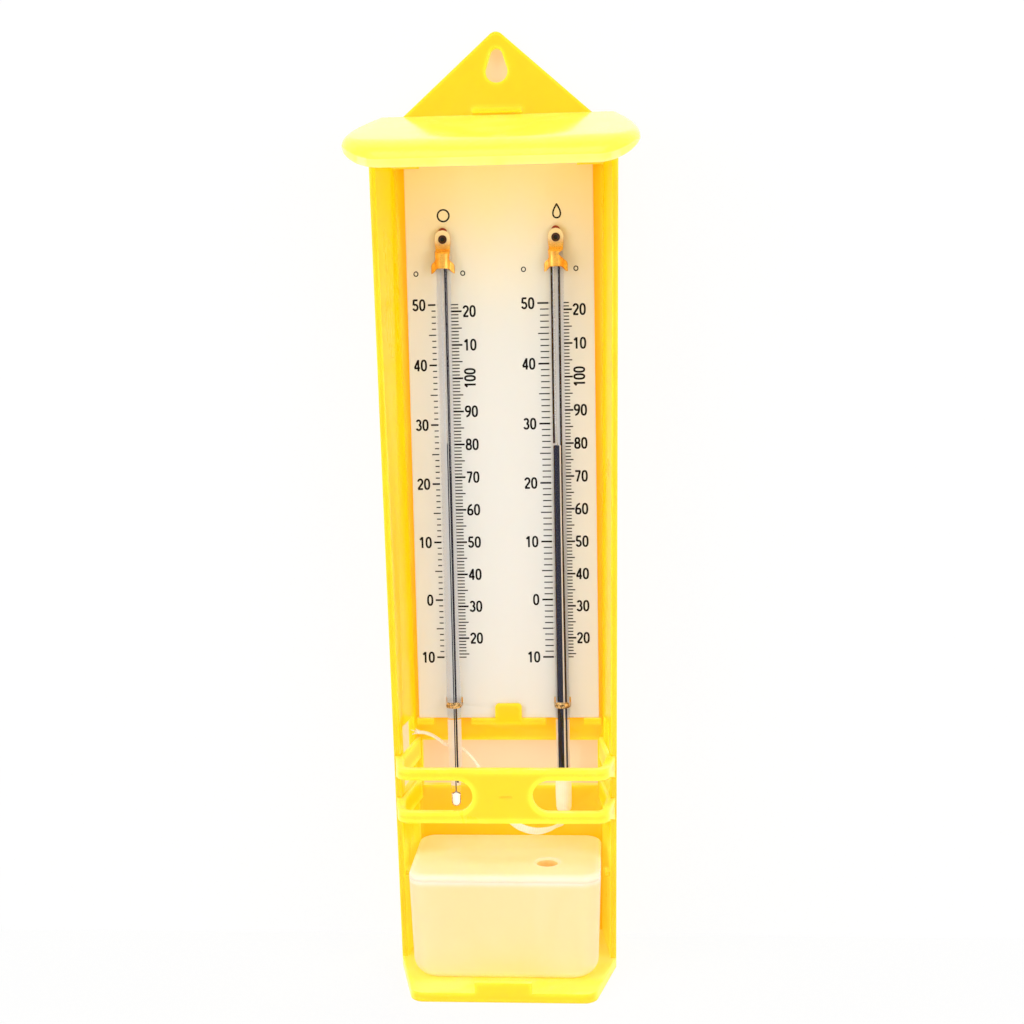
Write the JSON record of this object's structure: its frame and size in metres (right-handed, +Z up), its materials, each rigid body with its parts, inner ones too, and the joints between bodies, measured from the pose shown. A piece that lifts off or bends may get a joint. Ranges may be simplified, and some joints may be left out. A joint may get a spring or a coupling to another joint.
{
  "type": "wet and dry bulb hygrometer",
  "caption": "Wall-hung wet and dry bulb hygrometer: hooded case, scale plate, two mercury thermometers, wick and pull-out lidded water reservoir.",
  "frame": {"origin": "centre of the keyhole's narrow arc, where a wall screw carries the part, on the back face", "axes": "+Z up along the case's height; +Y into the wall, so the scale faces -Y; +X to the reader's right"},
  "size_m": [0.097, 0.0555, 0.325],
  "materials": {
    "case_yellow": "moulded, glossy",
    "hood_yellow": "moulded, high gloss",
    "scale_cream": "satin with printed scales",
    "stem_glass": "clear drawn glass",
    "mercury": "liquid metal",
    "clip_brass": "stamped sheet, slightly tarnished",
    "pad_fibre": "red vulcanised fibre",
    "wick_cotton": "knitted cotton",
    "reservoir_polythene": "translucent, satin"
  },
  "bodies": {
    "case": {"case_body": "case_yellow", "bulb_guard": "case_yellow", "roof_hood": "hood_yellow", "scale_plate": "scale_cream", "dry_stem": "stem_glass", "dry_mercury": "mercury", "dry_top_clip": "clip_brass", "dry_pad": "pad_fibre", "dry_eyelet": "clip_brass", "dry_clamp": "clip_brass", "wet_stem": "stem_glass", "wet_mercury": "mercury", "wet_top_clip": "clip_brass", "wet_pad": "pad_fibre", "wet_eyelet": "clip_brass", "wet_clamp": "clip_brass", "wick_sleeve": "wick_cotton", "wick_tail": "wick_cotton"},
    "reservoir": {"reservoir_box": "reservoir_polythene"},
    "lid": {"reservoir_lid": "reservoir_polythene"}
  },
  "joints": [
    {"name": "reservoir_pull", "type": "slide", "parent": "case", "child": "reservoir", "axis": [0, -0.9613, 0.2756], "range_m": [0, 0.07]},
    {"name": "lid_lift", "type": "slide", "parent": "reservoir", "child": "lid", "axis": [0, 0, 1], "range_m": [0, 0.004]}
  ]
}
